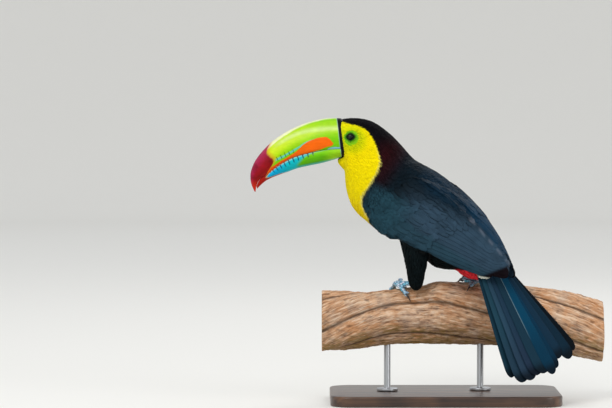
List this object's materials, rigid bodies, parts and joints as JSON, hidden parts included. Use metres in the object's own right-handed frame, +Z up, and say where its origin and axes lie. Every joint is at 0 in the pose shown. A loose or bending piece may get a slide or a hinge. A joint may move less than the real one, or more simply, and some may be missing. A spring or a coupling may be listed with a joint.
{
  "type": "toucan",
  "caption": "Life-size still model of a keel-billed toucan perched on a cut length of liana, held by a plain stand.",
  "frame": {"origin": "centre of the stand base's underside", "axes": "+Z up, the bill points along -X, the perch runs along X, and the tail hangs on the -Y side"},
  "size_m": [0.4314, 0.1742, 0.3461],
  "materials": {
    "horn_upper": "polished horn: yellow-green with an orange patch and a crimson tip",
    "horn_lower": "polished horn: green and sky blue with a crimson tip",
    "plumage_face": "soft short feathers, bright yellow with a black crown",
    "eye": "wet, dark green iris round a black pupil",
    "plumage_black": "soft feathers, black with a maroon nape",
    "plumage_wing": "sleek flight feathers, slate black with a blue sheen",
    "plumage_tail": "sleek tail feathers, black with a teal sheen",
    "plumage_red": "soft loose feathers, scarlet",
    "plumage_white": "soft loose feathers, white",
    "leg_skin": "scaly light blue skin",
    "claw_horn": "dark horn",
    "bark": "rough grooved bark with some moss",
    "stand_wood": "dark satin-lacquered hardwood",
    "stand_steel": "satin steel"
  },
  "bodies": {
    "root": {"bill_upper": "horn_upper", "bill_lower": "horn_lower", "head": "plumage_face", "eye_left": "eye", "eye_right": "eye", "neck": "plumage_black", "trunk": "plumage_black", "thigh_left": "plumage_black", "thigh_right": "plumage_black", "wing_left": "plumage_wing", "wing_right": "plumage_wing", "tail": "plumage_tail", "undertail_coverts": "plumage_red", "uppertail_coverts": "plumage_white", "foot_left": "leg_skin", "foot_right": "leg_skin", "claw_left_1": "claw_horn", "claw_left_2": "claw_horn", "claw_left_3": "claw_horn", "claw_left_4": "claw_horn", "claw_right_1": "claw_horn", "claw_right_2": "claw_horn", "claw_right_3": "claw_horn", "claw_right_4": "claw_horn", "perch": "bark", "stand_base": "stand_wood", "stand_rod_left": "stand_steel", "stand_rod_right": "stand_steel"}
  },
  "joints": []
}
